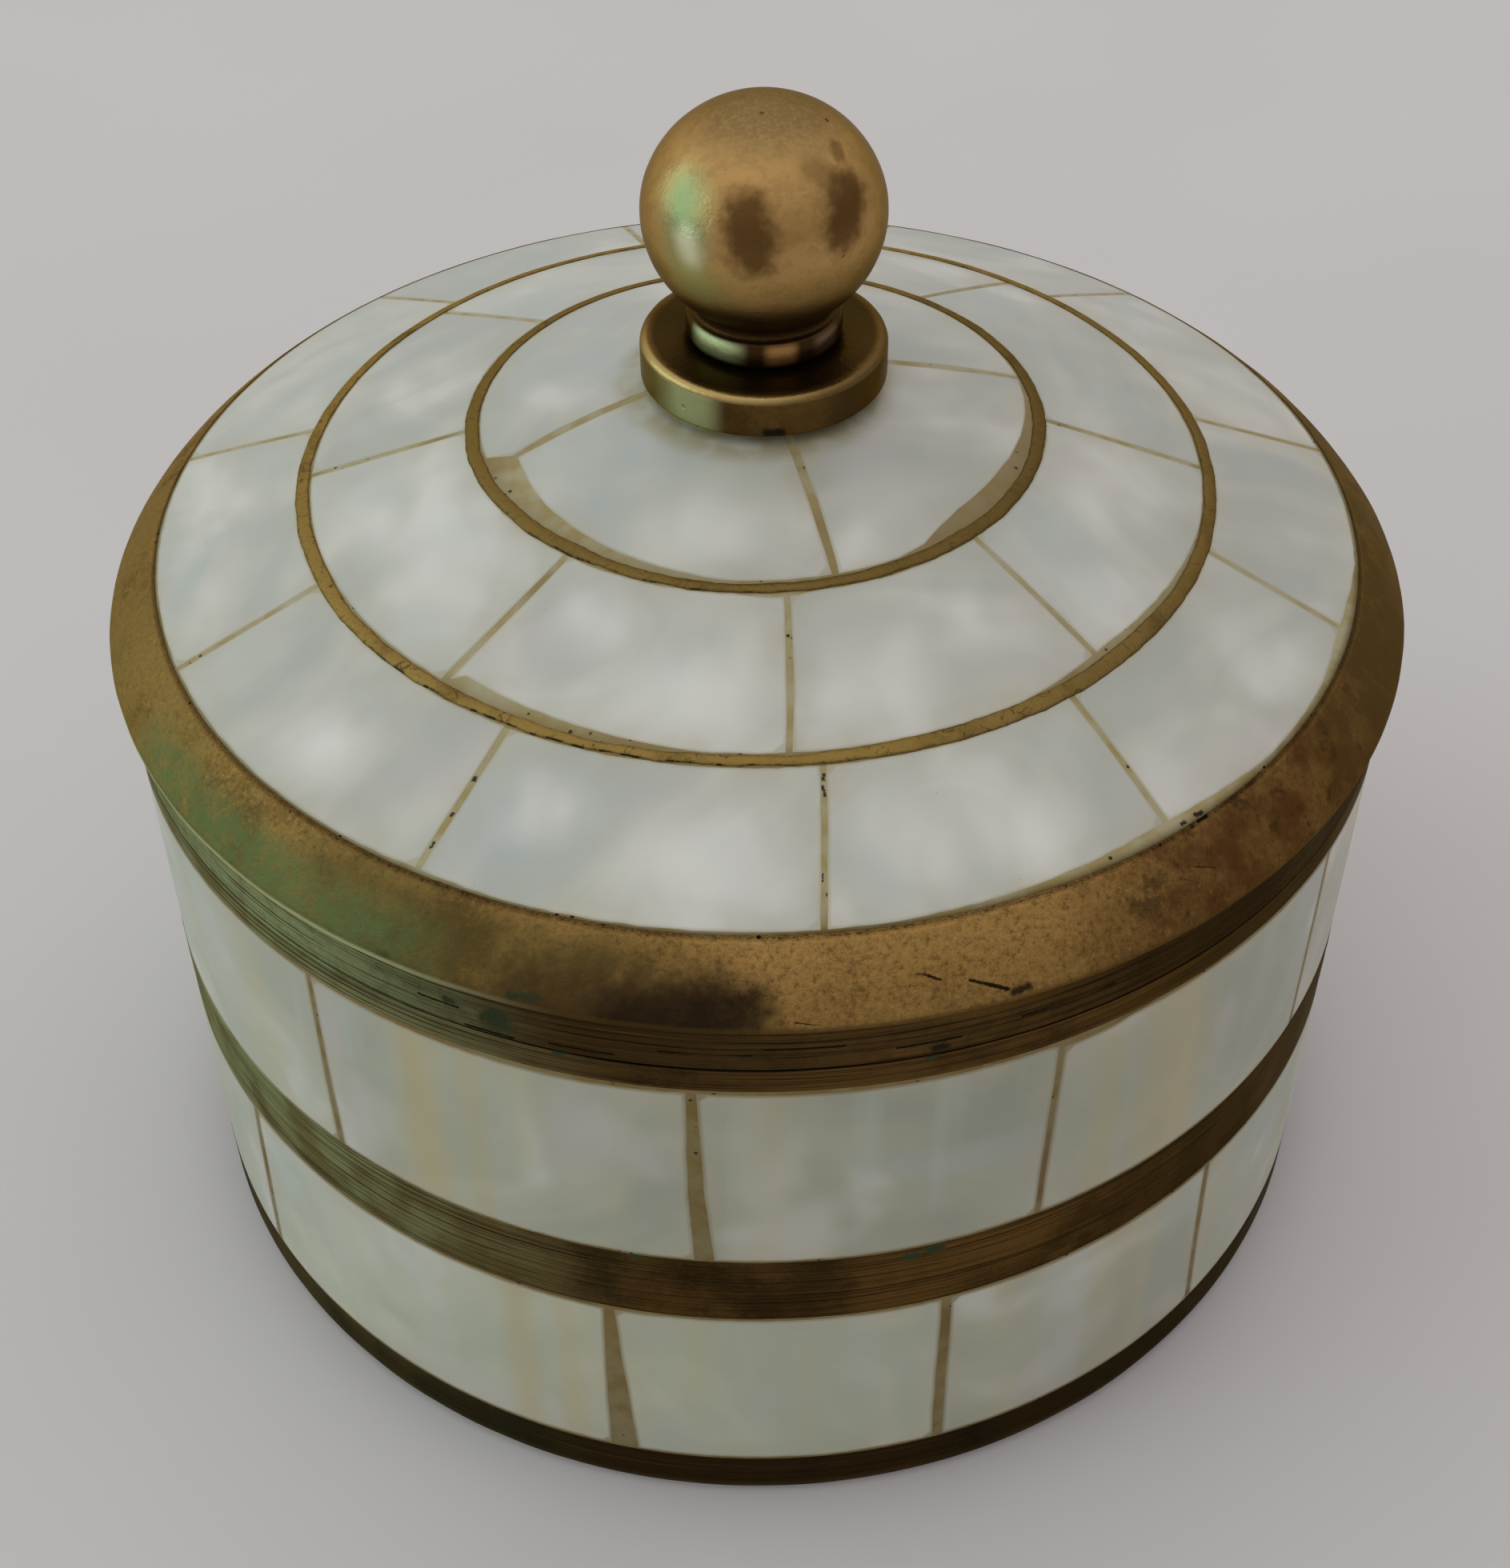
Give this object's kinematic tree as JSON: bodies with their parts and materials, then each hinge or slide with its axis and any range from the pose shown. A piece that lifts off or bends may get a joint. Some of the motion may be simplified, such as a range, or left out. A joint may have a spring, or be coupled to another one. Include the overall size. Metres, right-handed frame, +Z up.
{
  "type": "pill box",
  "caption": "Round brass pill box faced with curved mother-of-pearl tiles, with a low domed lift-off lid and a ball knob on a disc.",
  "frame": {"origin": "middle of the base, on the surface the box stands on", "axes": "+Z up along the axis of the box and its lid, -Y towards the front"},
  "size_m": [0.0634, 0.0634, 0.0593],
  "materials": {
    "shell": "polished mother-of-pearl, pale grey-white with faint green, blue and pink clouds",
    "aged_brass": "brown aged brass, satin, with darker stains and a little green patina",
    "dark_brass": "dark brown tarnished brass, satin",
    "plain_brass": "dull brass as turned, unseen from outside",
    "resin": "amber filled resin, satin"
  },
  "bodies": {
    "box": {"body_cup": "plain_brass", "foot_ring": "dark_brass", "belt_ring": "aged_brass", "mouth_ring": "aged_brass", "lower_resin_bed": "resin", "upper_resin_bed": "resin", "lower_band_tile_01": "shell", "lower_band_tile_02": "shell", "lower_band_tile_03": "shell", "lower_band_tile_04": "shell", "lower_band_tile_05": "shell", "lower_band_tile_06": "shell", "lower_band_tile_07": "shell", "lower_band_tile_08": "shell", "lower_band_tile_09": "shell", "lower_band_tile_10": "shell", "lower_band_tile_11": "shell", "upper_band_tile_01": "shell", "upper_band_tile_02": "shell", "upper_band_tile_03": "shell", "upper_band_tile_04": "shell", "upper_band_tile_05": "shell", "upper_band_tile_06": "shell", "upper_band_tile_07": "shell", "upper_band_tile_08": "shell", "upper_band_tile_09": "shell", "upper_band_tile_10": "shell", "upper_band_tile_11": "shell"},
    "lid": {"lid_rim_ring": "aged_brass", "lid_collar": "plain_brass", "lid_dome": "plain_brass", "lid_resin_bed": "resin", "lid_outer_wire": "aged_brass", "lid_inner_wire": "aged_brass", "lid_outer_tile_01": "shell", "lid_outer_tile_02": "shell", "lid_outer_tile_03": "shell", "lid_outer_tile_04": "shell", "lid_outer_tile_05": "shell", "lid_outer_tile_06": "shell", "lid_outer_tile_07": "shell", "lid_outer_tile_08": "shell", "lid_outer_tile_09": "shell", "lid_outer_tile_10": "shell", "lid_outer_tile_11": "shell", "lid_middle_tile_01": "shell", "lid_middle_tile_02": "shell", "lid_middle_tile_03": "shell", "lid_middle_tile_04": "shell", "lid_middle_tile_05": "shell", "lid_middle_tile_06": "shell", "lid_middle_tile_07": "shell", "lid_middle_tile_08": "shell", "lid_inner_tile_01": "shell", "lid_inner_tile_02": "shell", "lid_inner_tile_03": "shell", "lid_inner_tile_04": "shell", "knob_disc": "aged_brass", "ball_knob": "aged_brass", "knob_nut": "plain_brass"}
  },
  "joints": [
    {"name": "lid_lift", "type": "slide", "parent": "box", "child": "lid", "axis": [0, 0, 1], "range_m": [0, 0.04]}
  ]
}
